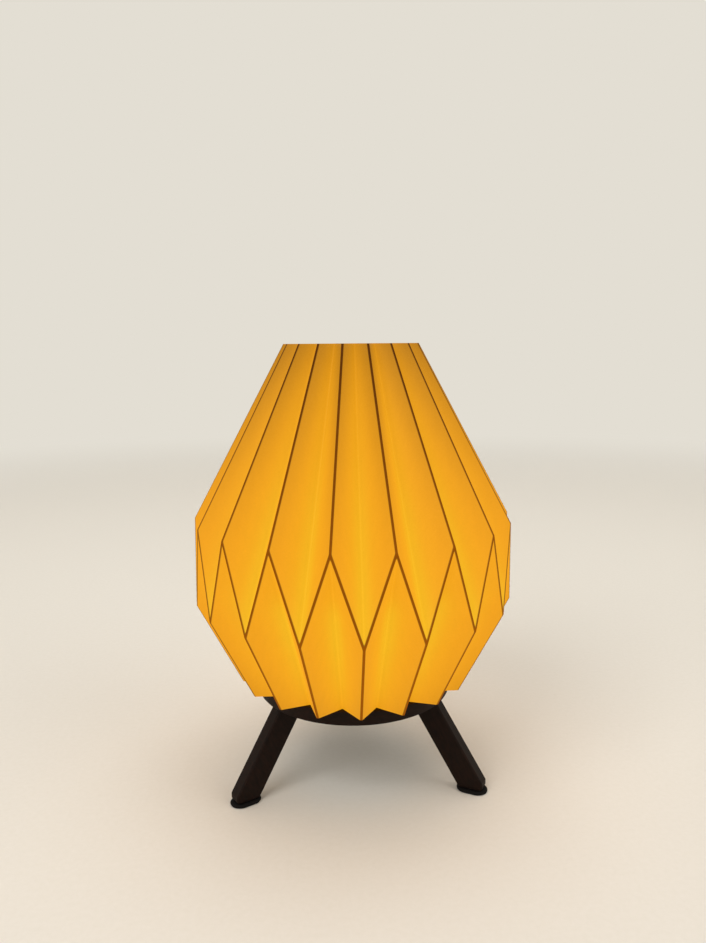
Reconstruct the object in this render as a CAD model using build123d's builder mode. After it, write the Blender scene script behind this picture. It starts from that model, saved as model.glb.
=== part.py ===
from build123d import *
import os
from math import cos, radians, sin, tan

# A table lamp: a pleated shade of stiff paper stands on a round base disc with three splayed
# legs, over a small screw lampholder and its lamp. Millimetres, +Z up. The origin is on the
# ground, on the lamp's axis, and the rear leg points to +Y.

# ---------------------------------------------------------------- Driving sizes: the shade
pleat_count = 18
belly_radius = 90.0  # axis to the corners of the zig-zag round the belly
top_fold_radius = 38.0  # axis to the outward folds at the top rim
bottom_fold_radius = 65.5  # axis to the outward folds at the bottom rim
upper_panel_height = 97.1  # upper corners of the zig-zag to the top rim
belly_height = 47.2  # lower corners of the zig-zag to the upper ones
lower_panel_height = 47.1  # bottom rim to the lower corners
paper_thickness = 0.8
shade_turn = -1.5  # angle of one upper outward fold from +X, in degrees

# ---------------------------------------------------------------- Driving sizes: the stand
base_margin = 3.8  # how far the disc stands out past the legs
base_thickness = 8.0
base_edge_round = 0.8
leg_count = 3
rear_leg_angle = 90.0
leg_height = 49.0  # foot pad to the underside of the base
leg_splay = 32.5  # from upright, in degrees
leg_bar_width = 14.0  # square to the bar, in the leg's own upright plane
leg_thickness = 8.0
foot_cut_rise = 4.4  # height of the upright cut at the outer side of each foot
foot_corner_round = 2.0
leg_edge_break = 0.7
tongue_length = 12.0  # the leg's top, let into the underside of the base
tongue_depth = 3.0
joinery_clearance = 0.1
pad_thickness = 2.0
pad_margin = 0.8  # how far the foot pad stands out round the foot

# ---------------------------------------------------------------- Driving sizes: the seat ring
seat_ring_height = 5.0
seat_ring_width = 14.0
seat_ring_chamfer = 1.0
shade_clearance = 0.5  # between the seat ring and the shade's inward folds
wood_screw_radius = 1.75
wood_screw_head_radius = 3.6
wood_screw_head_angle = 90.0
wood_screw_length = 20.0
wood_screw_tip = 3.0
screw_hole_clearance = 0.1
screw_recess_length = 3.6
screw_recess_width = 0.8
screw_recess_depth = 1.0
leg_screw_offset = 1.5  # from the middle of the leg's tongue outwards
screw_edge_distance = 4.5  # from the seat ring's outer edge to each leg screw

# ---------------------------------------------------------------- Driving sizes: the cord's way
nipple_radius = 5.0
nipple_bore_radius = 3.75
nipple_gap = 0.5  # between the nipple's upper end and the terminal screws' heads
thread_clearance = 0.05
washer_radius = 10.0
washer_thickness = 1.0
nut_across_flats = 14.0
nut_thickness = 3.0
gland_radius = 7.5
gland_height = 15.0
gland_grip_height = 7.0  # the narrow lower stretch that holds the cord
gland_bore_radius = 3.2
gland_edge_chamfer = 1.0
gland_screw_radius = 2.0
gland_screw_stand_out = 1.5
gland_screw_slot_width = 0.8
gland_screw_slot_depth = 0.8

# ---------------------------------------------------------------- Driving sizes: the lampholder
holder_radius = 14.0
holder_wall = 1.8
holder_floor = 3.0
cup_height = 14.0
spigot_height = 4.0  # the cup's upper edge, that the sleeve goes over
spigot_wall = 1.8
holder_fit = 0.1
hub_wall = 1.8
block_plug_depth = 3.5
block_flange_thickness = 2.5
block_neck_step = 1.8  # from the spigot in to the block's neck
block_neck_height = 4.5
block_pocket_radius = 5.0
block_pocket_depth = 3.0
terminal_gap = 0.4  # between the terminal screws' heads and the cup
terminal_screw_radius = 1.5
terminal_head_radius = 2.5
terminal_head_height = 2.0
terminal_screw_depth = 5.0
sleeve_wall = 1.6
sleeve_draw_in = 1.6  # how much narrower the sleeve is at its top
sleeve_lip = 2.4
sleeve_lip_clearance = 0.75  # round the screw shell
shell_wall = 0.4
shell_hole_step = 0.2  # outside the block's pocket
tongue_contact_width = 3.6
tongue_contact_thickness = 0.5
tongue_heel = 2.3  # from the axis to the spring tongue's bend
contact_gap = 0.3  # between the spring tongue and the lamp's tip

# ---------------------------------------------------------------- Driving sizes: the lamp
thread_pitch = 2.822
thread_crest_radius = 6.9
thread_depth = 0.7
thread_turns = 5
thread_crest_share = 0.3  # of the pitch, flat at the crest
thread_running_clearance = 0.25
lamp_tip_over_block = 1.2
lamp_length = 80.0
tip_radius = 2.4
tip_height = 1.2
tip_chamfer = 0.4
insulator_step = 0.6  # inside the thread's root
insulator_height = 2.8
cap_wall = 0.5
collar_neck_depth = 4.0
collar_clearance = 0.1
collar_foot_radius = 9.0
collar_foot_gap = 1.2  # over the lampholder's mouth
collar_wall = 1.6
collar_curve_radius = 45.0
globe_radius = 22.5
globe_wall = 1.0
globe_seat_radius = 18.0
board_clearance = 0.6  # between the board's edge and the collar
board_thickness = 1.2
board_drop = 1.5  # below the globe's seat
chip_count = 8
chip_circle_radius = 10.0
chip_size = 3.0
chip_thickness = 0.8

# ---------------------------------------------------------------- Heights and angles that follow
half_pleat_angle = 180.0 / pleat_count
shade_height = lower_panel_height + belly_height + upper_panel_height
base_bottom = pad_thickness + leg_height
base_top = base_bottom + base_thickness
seat_ring_top = base_top + seat_ring_height
leg_angles = [rear_leg_angle + index * 360.0 / leg_count for index in range(leg_count)]
leg_names = ["rear", "front_left", "front_right"]

os.makedirs("parts", exist_ok=True)


def upright_plane(angle):
    """The plane that holds the axis and points out at this angle: x is out, y is up."""
    turn = radians(angle)
    return Plane(origin=(0, 0, 0), x_dir=(cos(turn), sin(turn), 0), z_dir=(sin(turn), -cos(turn), 0))


def finish(piece, name):
    """Names a piece and writes it to its own file."""
    piece.part.label = name
    export_step(piece.part, f"parts/{name}.step")


# ================================================================ The pleated shade
# Every panel is flat. An upper panel holds one upper outward fold and the lower corner beside
# it, and a lower panel holds that corner's own fold and the upper corner, so the fold between
# the two runs slantwise from corner to corner and makes the zig-zag. The inward folds are
# where neighbouring panels meet.


def corner(radius, angle, height):
    """A point of the shade, with its height counted from the bottom rim."""
    return Vector(radius * cos(radians(angle)), radius * sin(radians(angle)), height)


def panel_plane(first, second, third):
    """The plane of a panel through three of its corners, facing away from the axis."""
    normal = (second - first).cross(third - first)
    if normal.dot(first) < 0:
        normal = -normal
    return Plane(origin=first, z_dir=normal)


upper_corner = corner(belly_radius, 0, lower_panel_height + belly_height)
lower_corner = corner(belly_radius, half_pleat_angle, lower_panel_height)
upper_panel = panel_plane(corner(top_fold_radius, 0, shade_height), upper_corner, lower_corner)
lower_panel = panel_plane(corner(bottom_fold_radius, half_pleat_angle, 0), lower_corner, upper_corner)


def half_pleat(inset):
    """All that lies inside one upper and one lower panel, with both moved in by the inset."""
    reach = 2 * belly_radius
    with BuildPart() as wedge:
        with BuildSketch():
            with BuildLine():
                Polyline((0, 0), (reach, 0), (reach, reach * tan(radians(half_pleat_angle))), close=True)
            make_face()
        extrude(amount=shade_height)
        split(bisect_by=upper_panel.offset(-inset), keep=Keep.BOTTOM)
        split(bisect_by=lower_panel.offset(-inset), keep=Keep.BOTTOM)
    return wedge.part


with BuildPart() as half_pleat_wall:
    add(half_pleat(0))
    add(half_pleat(paper_thickness), mode=Mode.SUBTRACT)

with BuildPart() as pleat_wall:
    add(half_pleat_wall.part)
    mirror(about=Plane.XZ)

with BuildPart() as paper_shade:
    with Locations((0, 0, base_top)):
        with PolarLocations(0, pleat_count, start_angle=shade_turn):
            add(pleat_wall.part)
finish(paper_shade, "paper_shade")

# The inside of the inward folds at the bottom rim, which the seat ring has to clear.
inner_panel = lower_panel.offset(-paper_thickness)
inner_fold_radius = inner_panel.origin.dot(inner_panel.z_dir) / inner_panel.z_dir.X
seat_ring_radius = inner_fold_radius - shade_clearance

# ================================================================ The stand
leg_slope = tan(radians(leg_splay))
leg_level_width = leg_bar_width / cos(radians(leg_splay))
screw_circle_radius = seat_ring_radius - screw_edge_distance
tongue_centre = screw_circle_radius - leg_screw_offset
leg_top_radius = tongue_centre + leg_level_width / 2
base_radius = leg_top_radius + base_margin
foot_cut_height = pad_thickness + foot_cut_rise
foot_cut_radius = leg_top_radius + (base_bottom - foot_cut_height) * leg_slope
foot_inner_radius = leg_top_radius - leg_level_width + leg_height * leg_slope
screw_tip_height = seat_ring_top - wood_screw_length
screw_hole_radius = wood_screw_radius + screw_hole_clearance

with BuildPart() as base_disc:
    with BuildSketch(Plane.XY.offset(base_bottom)):
        Circle(base_radius)
    extrude(amount=base_thickness)
    fillet(base_disc.edges().filter_by(GeomType.CIRCLE), radius=base_edge_round)
    with BuildSketch(Plane.XY.offset(base_bottom)):
        with PolarLocations(tongue_centre, leg_count, start_angle=rear_leg_angle):
            Rectangle(tongue_length + 2 * joinery_clearance, leg_thickness + 2 * joinery_clearance)
    extrude(amount=tongue_depth, mode=Mode.SUBTRACT)
    with BuildSketch(Plane.XY.offset(base_bottom)):
        Circle(nipple_radius + screw_hole_clearance)
        with PolarLocations(screw_circle_radius, leg_count, start_angle=rear_leg_angle):
            Circle(screw_hole_radius)
    extrude(amount=base_thickness, mode=Mode.SUBTRACT)
finish(base_disc, "base_disc")

for leg_name, leg_angle in zip(leg_names, leg_angles):
    leg_plane = upright_plane(leg_angle)
    with BuildPart() as leg:
        with BuildSketch(leg_plane) as leg_outline:
            with BuildLine():
                Polyline(
                    (leg_top_radius - leg_level_width, base_bottom),
                    (leg_top_radius, base_bottom),
                    (foot_cut_radius, foot_cut_height),
                    (foot_cut_radius, pad_thickness),
                    (foot_inner_radius, pad_thickness),
                    close=True,
                )
            make_face()
            foot_corners = leg_outline.vertices().group_by(Axis.Y)[0:-1]
            fillet([point for level in foot_corners for point in level], radius=foot_corner_round)
        extrude(amount=leg_thickness / 2, both=True)
        side_faces = leg.faces().filter_by(Axis(origin=(0, 0, 0), direction=leg_plane.z_dir))
        side_edges = side_faces.edges() - leg.faces().sort_by(Axis.Z)[-1].edges()
        chamfer(side_edges, length=leg_edge_break)
        with BuildSketch(Plane.XY.offset(base_bottom)):
            with PolarLocations(tongue_centre, 1, start_angle=leg_angle):
                Rectangle(tongue_length, leg_thickness)
        extrude(amount=tongue_depth - joinery_clearance)
        with BuildSketch(Plane.XY.offset(screw_tip_height - joinery_clearance)):
            with PolarLocations(screw_circle_radius, 1, start_angle=leg_angle):
                Circle(screw_hole_radius)
        extrude(until=Until.LAST, mode=Mode.SUBTRACT)
    finish(leg, f"leg_{leg_name}")

    foot_middle = (foot_cut_radius + foot_inner_radius) / 2
    pad_length = foot_cut_radius - foot_inner_radius + 2 * pad_margin
    with BuildPart() as foot_pad:
        with BuildSketch():
            with PolarLocations(foot_middle, 1, start_angle=leg_angle):
                SlotOverall(pad_length, leg_thickness + 2 * pad_margin)
        extrude(amount=pad_thickness)
    finish(foot_pad, f"foot_pad_{leg_name}")

# ================================================================ The seat ring and its screws
with BuildPart() as seat_ring:
    with BuildSketch(Plane.XY.offset(base_top)):
        Circle(seat_ring_radius)
        Circle(seat_ring_radius - seat_ring_width, mode=Mode.SUBTRACT)
    extrude(amount=seat_ring_height)
    chamfer(seat_ring.edges().group_by(Axis.Z)[-1].sort_by(SortBy.LENGTH)[-1], length=seat_ring_chamfer)
    with Locations(Plane.XY.offset(seat_ring_top)):
        with PolarLocations(screw_circle_radius, leg_count, start_angle=rear_leg_angle):
            CounterSinkHole(
                radius=screw_hole_radius,
                counter_sink_radius=wood_screw_head_radius + screw_hole_clearance,
                depth=seat_ring_height,
                counter_sink_angle=wood_screw_head_angle,
            )
finish(seat_ring, "seat_ring")

head_flare = wood_screw_head_radius - wood_screw_radius
wood_screw_head_height = head_flare / tan(radians(wood_screw_head_angle / 2))
with BuildPart() as wood_screw:
    with BuildSketch(Plane.XZ):
        with BuildLine():
            Polyline(
                (0, 0),
                (wood_screw_head_radius, 0),
                (wood_screw_radius, -wood_screw_head_height),
                (wood_screw_radius, wood_screw_tip - wood_screw_length),
                (0, -wood_screw_length),
                close=True,
            )
        make_face()
    revolve(axis=Axis.Z)
    with BuildSketch():
        Rectangle(screw_recess_length, screw_recess_width)
        Rectangle(screw_recess_width, screw_recess_length)
    extrude(amount=-screw_recess_depth, mode=Mode.SUBTRACT)

with BuildPart() as leg_screws:
    with Locations((0, 0, seat_ring_top)):
        with PolarLocations(screw_circle_radius, leg_count, start_angle=rear_leg_angle):
            add(wood_screw.part)
finish(leg_screws, "leg_screws")

# ================================================================ The cord's way through the base
nut_top = base_bottom - washer_thickness
gland_top = nut_top - nut_thickness
gland_bottom = gland_top - gland_height
nipple_bottom = gland_bottom + gland_grip_height
cup_top = base_top + cup_height
block_bottom = cup_top - block_plug_depth
nipple_top = block_bottom - terminal_head_height - nipple_gap

with BuildPart() as threaded_nipple:
    with BuildSketch(Plane.XY.offset(nipple_bottom)):
        Circle(nipple_radius)
        Circle(nipple_bore_radius, mode=Mode.SUBTRACT)
    extrude(amount=nipple_top - nipple_bottom)
finish(threaded_nipple, "threaded_nipple")

with BuildPart() as nipple_washer:
    with BuildSketch(Plane.XY.offset(nut_top)):
        Circle(washer_radius)
        Circle(nipple_radius + screw_hole_clearance, mode=Mode.SUBTRACT)
    extrude(amount=washer_thickness)
finish(nipple_washer, "nipple_washer")

with BuildPart() as nipple_nut:
    with BuildSketch(Plane.XY.offset(gland_top)):
        RegularPolygon(nut_across_flats / 2, side_count=6, major_radius=False)
        Circle(nipple_radius + thread_clearance, mode=Mode.SUBTRACT)
    extrude(amount=nut_thickness)
finish(nipple_nut, "nipple_nut")

gland_screw_height = gland_bottom + gland_grip_height / 2
gland_screw_plane = Plane(origin=(0, 0, gland_screw_height), x_dir=(1, 0, 0), z_dir=(0, 1, 0))

with BuildPart() as cord_gland:
    with BuildSketch(Plane.XY.offset(gland_bottom)):
        Circle(gland_radius)
        Circle(gland_bore_radius, mode=Mode.SUBTRACT)
    extrude(amount=gland_height)
    chamfer(cord_gland.edges().group_by(Axis.Z)[0].sort_by(SortBy.LENGTH)[-1], length=gland_edge_chamfer)
    with BuildSketch(Plane.XY.offset(gland_top)):
        Circle(nipple_radius + thread_clearance)
    extrude(amount=nipple_bottom - gland_top, mode=Mode.SUBTRACT)
    with BuildSketch(gland_screw_plane):
        Circle(gland_screw_radius + thread_clearance)
    extrude(amount=gland_radius, mode=Mode.SUBTRACT)
finish(cord_gland, "cord_gland")

with BuildPart() as gland_screw:
    with BuildSketch(gland_screw_plane.offset(gland_bore_radius)):
        Circle(gland_screw_radius)
    extrude(amount=gland_radius - gland_bore_radius + gland_screw_stand_out)
    with BuildSketch(gland_screw_plane.offset(gland_radius + gland_screw_stand_out)):
        Rectangle(2 * gland_screw_radius, gland_screw_slot_width)
    extrude(amount=-gland_screw_slot_depth, mode=Mode.SUBTRACT)
finish(gland_screw, "gland_screw")

# ================================================================ The lampholder
spigot_radius = holder_radius - holder_wall
cup_inner_radius = spigot_radius - spigot_wall
hub_radius = nipple_radius + thread_clearance + hub_wall
block_neck_radius = spigot_radius - block_neck_step
terminal_offset = cup_inner_radius - terminal_head_radius - terminal_gap
flange_top = cup_top + block_flange_thickness
block_top = flange_top + block_neck_height
thread_root_radius = thread_crest_radius - thread_depth
thread_start = block_top + lamp_tip_over_block + tip_height + insulator_height
sleeve_top = thread_start + thread_turns * thread_pitch
lip_bottom = sleeve_top - sleeve_lip
sleeve_top_radius = holder_radius - sleeve_draw_in
sleeve_lip_radius = thread_crest_radius + thread_running_clearance + shell_wall + sleeve_lip_clearance
shell_hole_radius = block_pocket_radius + shell_hole_step


def turned(points):
    """A piece turned about the axis from its outline, given as radius and height pairs."""
    with BuildPart() as piece:
        with BuildSketch(Plane.XZ):
            with BuildLine():
                Polyline(*points, close=True)
            make_face()
        revolve(axis=Axis.Z)
    return piece


holder_base = turned(
    [
        (nipple_radius + thread_clearance, base_top),
        (holder_radius, base_top),
        (holder_radius, cup_top - spigot_height),
        (spigot_radius, cup_top - spigot_height),
        (spigot_radius, cup_top),
        (cup_inner_radius, cup_top),
        (cup_inner_radius, base_top + holder_floor),
        (hub_radius, base_top + holder_floor),
        (hub_radius, nipple_top),
        (nipple_radius + thread_clearance, nipple_top),
    ]
)
finish(holder_base, "holder_base")

terminal_places = [(-terminal_offset, 0), (terminal_offset, 0)]
with BuildPart() as contact_block:
    add(
        turned(
            [
                (0, block_bottom),
                (cup_inner_radius - holder_fit, block_bottom),
                (cup_inner_radius - holder_fit, cup_top),
                (spigot_radius, cup_top),
                (spigot_radius, flange_top),
                (block_neck_radius, flange_top),
                (block_neck_radius, block_top),
                (block_pocket_radius, block_top),
                (block_pocket_radius, block_top - block_pocket_depth),
                (0, block_top - block_pocket_depth),
            ]
        ).part
    )
    with BuildSketch(Plane.XY.offset(block_bottom)):
        with Locations(terminal_places):
            Circle(terminal_screw_radius + thread_clearance)
    extrude(amount=terminal_screw_depth + joinery_clearance, mode=Mode.SUBTRACT)
finish(contact_block, "contact_block")

with BuildPart() as terminal_screws:
    with BuildSketch(Plane.XY.offset(block_bottom)):
        with Locations(terminal_places):
            Circle(terminal_screw_radius)
    extrude(amount=terminal_screw_depth)
    with BuildSketch(Plane.XY.offset(block_bottom)):
        with Locations(terminal_places):
            Circle(terminal_head_radius)
    extrude(amount=-terminal_head_height)
finish(terminal_screws, "terminal_screws")

holder_sleeve = turned(
    [
        (spigot_radius + holder_fit, cup_top - spigot_height),
        (holder_radius, cup_top - spigot_height),
        (holder_radius, flange_top),
        (sleeve_top_radius, sleeve_top),
        (sleeve_lip_radius, sleeve_top),
        (sleeve_lip_radius, lip_bottom),
        (sleeve_top_radius - sleeve_wall, lip_bottom),
        (block_neck_radius + holder_fit, flange_top),
        (spigot_radius + holder_fit, flange_top),
    ]
)
finish(holder_sleeve, "holder_sleeve")

# The lamp's screw thread and the shell that it turns in have the same waves, a clearance apart.
def thread_waves(outset):
    """Outline points of a thread's waves, from the bottom up, moved out by the outset."""
    points = []
    flank = (1 - thread_crest_share) / 2 * thread_pitch
    for turn in range(thread_turns):
        foot = thread_start + turn * thread_pitch
        points += [
            (thread_root_radius + outset, foot),
            (thread_crest_radius + outset, foot + flank),
            (thread_crest_radius + outset, foot + thread_pitch - flank),
        ]
    points.append((thread_root_radius + outset, sleeve_top))
    return points


shell_inside = thread_waves(thread_running_clearance)
shell_outside = thread_waves(thread_running_clearance + shell_wall)
screw_shell = turned(
    [
        (shell_hole_radius, block_top),
        (shell_outside[0][0], block_top),
        *shell_outside,
        *reversed(shell_inside),
        (shell_inside[0][0], block_top + shell_wall),
        (shell_hole_radius, block_top + shell_wall),
    ]
)
finish(screw_shell, "screw_shell")

# A bent strip of spring brass: one end lies on the pocket's floor, the other presses up.
pocket_floor = block_top - block_pocket_depth
tongue_reach = block_pocket_radius - tongue_contact_thickness
tongue_top = block_top + lamp_tip_over_block - contact_gap
with BuildPart() as centre_contact:
    with BuildSketch(Plane.XZ):
        with BuildLine():
            Polyline(
                (tongue_reach, pocket_floor),
                (tongue_reach, pocket_floor + tongue_contact_thickness),
                (tongue_contact_thickness - tongue_heel, pocket_floor + tongue_contact_thickness),
                (tip_radius - tongue_reach, tongue_top - tongue_contact_thickness),
                (tip_radius, tongue_top - tongue_contact_thickness),
                (tip_radius, tongue_top),
                (tip_radius - tongue_reach - tongue_contact_thickness, tongue_top),
                (-tongue_heel, pocket_floor),
                close=True,
            )
        make_face()
    extrude(amount=tongue_contact_width / 2, both=True)
finish(centre_contact, "centre_contact")

# ================================================================ The lamp
tip_bottom = block_top + lamp_tip_over_block
insulator_bottom = tip_bottom + tip_height
lamp_top = tip_bottom + lamp_length
globe_centre = lamp_top - globe_radius
globe_seat = globe_centre - (globe_radius**2 - globe_seat_radius**2) ** 0.5
collar_foot = sleeve_top + collar_foot_gap
cap_top = collar_foot
board_bottom = globe_seat - board_drop - board_thickness
neck_radius = thread_root_radius - cap_wall - collar_clearance
insulator_radius = thread_root_radius - insulator_step
board_radius = globe_seat_radius - collar_wall - board_clearance

with BuildPart() as bulb_contact:
    with BuildSketch(Plane.XY.offset(tip_bottom)):
        Circle(tip_radius)
    extrude(amount=tip_height)
    chamfer(bulb_contact.edges().group_by(Axis.Z)[0], length=tip_chamfer)
finish(bulb_contact, "bulb_contact")

bulb_insulator = turned(
    [
        (0, insulator_bottom),
        (tip_radius, insulator_bottom),
        (insulator_radius - cap_wall, thread_start),
        (0, thread_start),
    ]
)
finish(bulb_insulator, "bulb_insulator")

bulb_cap = turned(
    [
        (insulator_radius - cap_wall, thread_start),
        *thread_waves(0),
        (thread_root_radius, cap_top),
        (thread_root_radius - cap_wall, cap_top),
        (thread_root_radius - cap_wall, thread_start + cap_wall),
        (insulator_radius - cap_wall, thread_start + cap_wall),
    ]
)
finish(bulb_cap, "bulb_cap")

with BuildPart() as bulb_collar:
    with BuildSketch(Plane.XZ):
        with BuildLine():
            Polyline(
                (globe_seat_radius - collar_wall, globe_seat),
                (globe_seat_radius, globe_seat),
            )
            RadiusArc(
                (globe_seat_radius, globe_seat),
                (collar_foot_radius, collar_foot),
                collar_curve_radius,
            )
            Polyline(
                (collar_foot_radius, collar_foot),
                (neck_radius, collar_foot),
                (neck_radius, cap_top - collar_neck_depth),
                (neck_radius - collar_wall, cap_top - collar_neck_depth),
                (neck_radius - collar_wall, collar_foot + collar_wall),
                (collar_foot_radius - collar_wall / 2, collar_foot + collar_wall),
                (board_radius - collar_wall, board_bottom),
                (globe_seat_radius - collar_wall, board_bottom),
                (globe_seat_radius - collar_wall, globe_seat),
            )
        make_face()
    revolve(axis=Axis.Z)
finish(bulb_collar, "bulb_collar")

with BuildPart() as led_board:
    with BuildSketch(Plane.XY.offset(board_bottom)):
        Circle(board_radius)
    extrude(amount=board_thickness)
    with BuildSketch(Plane.XY.offset(board_bottom + board_thickness)):
        with PolarLocations(chip_circle_radius, chip_count):
            Rectangle(chip_size, chip_size)
    extrude(amount=chip_thickness)
finish(led_board, "led_board")

globe_inner_radius = globe_radius - globe_wall
globe_inner_seat = globe_centre - (globe_inner_radius**2 - (globe_seat_radius - globe_wall) ** 2) ** 0.5
with BuildPart() as bulb_globe:
    with BuildSketch(Plane.XZ):
        with BuildLine():
            outer_curve = ThreePointArc(
                (globe_seat_radius, globe_seat),
                (globe_radius, globe_centre),
                (0, lamp_top),
            )
            inner_curve = ThreePointArc(
                (globe_seat_radius - globe_wall, globe_inner_seat),
                (globe_inner_radius, globe_centre),
                (0, lamp_top - globe_wall),
            )
            Line(outer_curve @ 1, inner_curve @ 1)
            Polyline(
                inner_curve @ 0,
                (globe_seat_radius - globe_wall, globe_seat),
                outer_curve @ 0,
            )
        make_face()
    revolve(axis=Axis.Z)
finish(bulb_globe, "bulb_globe")
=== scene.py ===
"""A pleated paper table lamp on three splayed wooden legs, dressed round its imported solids."""

import logging
from dataclasses import dataclass, replace
from enum import Enum
from math import atan2, cos, degrees, hypot, radians, sin
from typing import Callable, Mapping, Sequence

import bmesh
import bpy
from mathutils import Matrix, Vector


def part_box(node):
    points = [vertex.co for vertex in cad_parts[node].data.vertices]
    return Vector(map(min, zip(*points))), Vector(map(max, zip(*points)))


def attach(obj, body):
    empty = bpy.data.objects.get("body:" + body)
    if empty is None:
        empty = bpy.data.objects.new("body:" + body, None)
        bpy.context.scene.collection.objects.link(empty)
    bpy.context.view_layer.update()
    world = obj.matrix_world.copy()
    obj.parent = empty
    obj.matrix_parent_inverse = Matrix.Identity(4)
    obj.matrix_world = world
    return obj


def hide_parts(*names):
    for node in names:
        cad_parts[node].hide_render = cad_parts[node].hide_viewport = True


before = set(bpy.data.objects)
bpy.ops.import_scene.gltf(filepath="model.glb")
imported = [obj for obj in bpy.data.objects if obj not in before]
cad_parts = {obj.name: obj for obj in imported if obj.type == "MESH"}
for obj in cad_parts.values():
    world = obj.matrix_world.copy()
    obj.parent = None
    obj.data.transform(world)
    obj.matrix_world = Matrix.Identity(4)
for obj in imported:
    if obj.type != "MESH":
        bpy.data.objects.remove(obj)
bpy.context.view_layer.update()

log = logging.getLogger("table_lamp")
MM = 0.001

# Heights of the shade's bottom and top rims above the ground, in millimetres.
RIM = 59.0
TOP = 250.4

Tree = bpy.types.NodeTree
Socket = bpy.types.NodeSocket
Colour = tuple[float, float, float, float]
Curve = Sequence[tuple[float, float]]
Element = bmesh.types.BMVert | bmesh.types.BMEdge

# Inputs and outputs of a Mix node by their place, because its numbers and colours share names.
MIX_SHARE, NUMBER_A, NUMBER_B, COLOUR_A, COLOUR_B = 0, 2, 3, 6, 7
NUMBER_OUT, COLOUR_OUT = 0, 2


# ---------------------------------------------------------------- Helpers for materials
def linear(code: str) -> Colour:
    """Turns an sRGB hex colour into a linear one, by the curve of the sRGB standard.

    Args:
        code: the colour as "#rrggbb".

    Returns:
        Its linear red, green and blue, with an alpha of one.
    """
    parts = [int(code[place:place + 2], 16) / 255 for place in (1, 3, 5)]
    bent = [part / 12.92 if part <= 0.04045 else ((part + 0.055) / 1.055) ** 2.4 for part in parts]
    return (bent[0], bent[1], bent[2], 1.0)


def feed(tree: Tree, node: bpy.types.Node, inputs: Mapping[str | int, object]) -> None:
    """Sets a node's inputs, or links them to the outputs that feed them.

    Args:
        tree: the node tree that holds the node.
        node: the node.
        inputs: a plain value or an output for each input.
    """
    for key, given in inputs.items():
        if isinstance(given, Socket):
            tree.links.new(given, node.inputs[key])
        else:
            node.inputs[key].default_value = given


def add_node(
    tree: Tree, kind: str, inputs: Mapping[str | int, object] | None = None, **settings: object
) -> bpy.types.Node:
    """Adds a shader node with its inputs and its settings.

    Args:
        tree: the node tree that takes the node.
        kind: the node's type.
        inputs: a plain value or an output for each input.
        settings: attributes of the node itself.

    Returns:
        The new node.
    """
    node = tree.nodes.new(f"ShaderNode{kind}")
    for name, value in settings.items():
        setattr(node, name, value)
    feed(tree, node, inputs or {})
    return node


def new_material(name: str) -> tuple[bpy.types.Material, bpy.types.Node, Socket]:
    """Starts a material with nodes.

    Args:
        name: what the material is.

    Returns:
        The material, its main shader and the output with the object coordinates.
    """
    made = bpy.data.materials.new(name)
    made.use_nodes = True
    place = add_node(made.node_tree, "TexCoord")
    return made, made.node_tree.nodes["Principled BSDF"], place.outputs["Object"]


def set_ramp(node: bpy.types.Node, places: Sequence[float], codes: Sequence[str]) -> None:
    """Gives a colour ramp its stops.

    Args:
        node: the colour ramp.
        places: where the stops are, from low to high.
        codes: their hex colours.
    """
    elements = node.color_ramp.elements
    while len(elements) > len(places):
        elements.remove(elements[-1])
    while len(elements) < len(places):
        elements.new(1.0)
    for element, place, code in zip(elements, places, codes):
        element.position = place
        element.color = linear(code)


def height_curve(tree: Tree, height: Socket, points: Curve) -> Socket:
    """A value that changes smoothly with the height above the ground.

    Args:
        tree: the material's node tree.
        height: the output with the height, in metres.
        points: height in millimetres and value pairs, from the lowest to the highest.

    Returns:
        The output with the value.
    """
    low, high = points[0][0], points[-1][0]
    span = add_node(tree, "MapRange", {"Value": height, "From Min": low * MM, "From Max": high * MM})
    made = add_node(tree, "FloatCurve", {"Value": span.outputs["Result"]})
    curve = made.mapping.curves[0]
    curve.points[0].location = (0.0, points[0][1])
    curve.points[1].location = (1.0, points[-1][1])
    for place, value in points[1:-1]:
        curve.points.new((place - low) / (high - low), value)
    made.mapping.update()
    return made.outputs["Value"]


def unevenness(tree: Tree, pattern: Socket, swing: float) -> Socket:
    """A factor near one that follows a pattern.

    Args:
        tree: the material's node tree.
        pattern: the output with the pattern, from 0 to 1.
        swing: how far the factor goes to either side of one.

    Returns:
        The output with the factor.
    """
    made = add_node(tree, "MapRange", {"Value": pattern, "To Min": 1.0 - swing, "To Max": 1.0 + swing})
    return made.outputs["Result"]


def product(tree: Tree, factors: Sequence[Socket]) -> Socket:
    """Multiplies two or more values.

    Args:
        tree: the material's node tree.
        factors: the outputs with the values.

    Returns:
        The output with their product.
    """
    made = factors[0]
    for factor in factors[1:]:
        made = add_node(tree, "Math", {0: made, 1: factor}, operation="MULTIPLY").outputs["Value"]
    return made


# ---------------------------------------------------------------- Helpers for meshes
class Pick(Enum):
    """What is picked in a mesh, by its name in the mesh's own data."""

    POINTS = "verts"
    EDGES = "edges"


def pick(piece: bpy.types.Object, kind: Pick, wanted: Callable[[Element], bool]) -> None:
    """Selects the wanted points or edges of a piece in edit mode, and nothing else.

    Args:
        piece: the piece, in edit mode.
        kind: whether points or edges are picked.
        wanted: says of each one whether it is wanted.
    """
    mesh = bmesh.from_edit_mesh(piece.data)
    bpy.ops.mesh.select_all(action="DESELECT")
    for element in getattr(mesh, kind.value):
        element.select = wanted(element)
    if kind is Pick.POINTS:
        mesh.select_flush_mode()
    bmesh.update_edit_mesh(piece.data)


def climb(edge: bmesh.types.BMEdge) -> float:
    """How far one end of an edge is above the other, in metres."""
    return abs(edge.verts[0].co.z - edge.verts[1].co.z)


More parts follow.
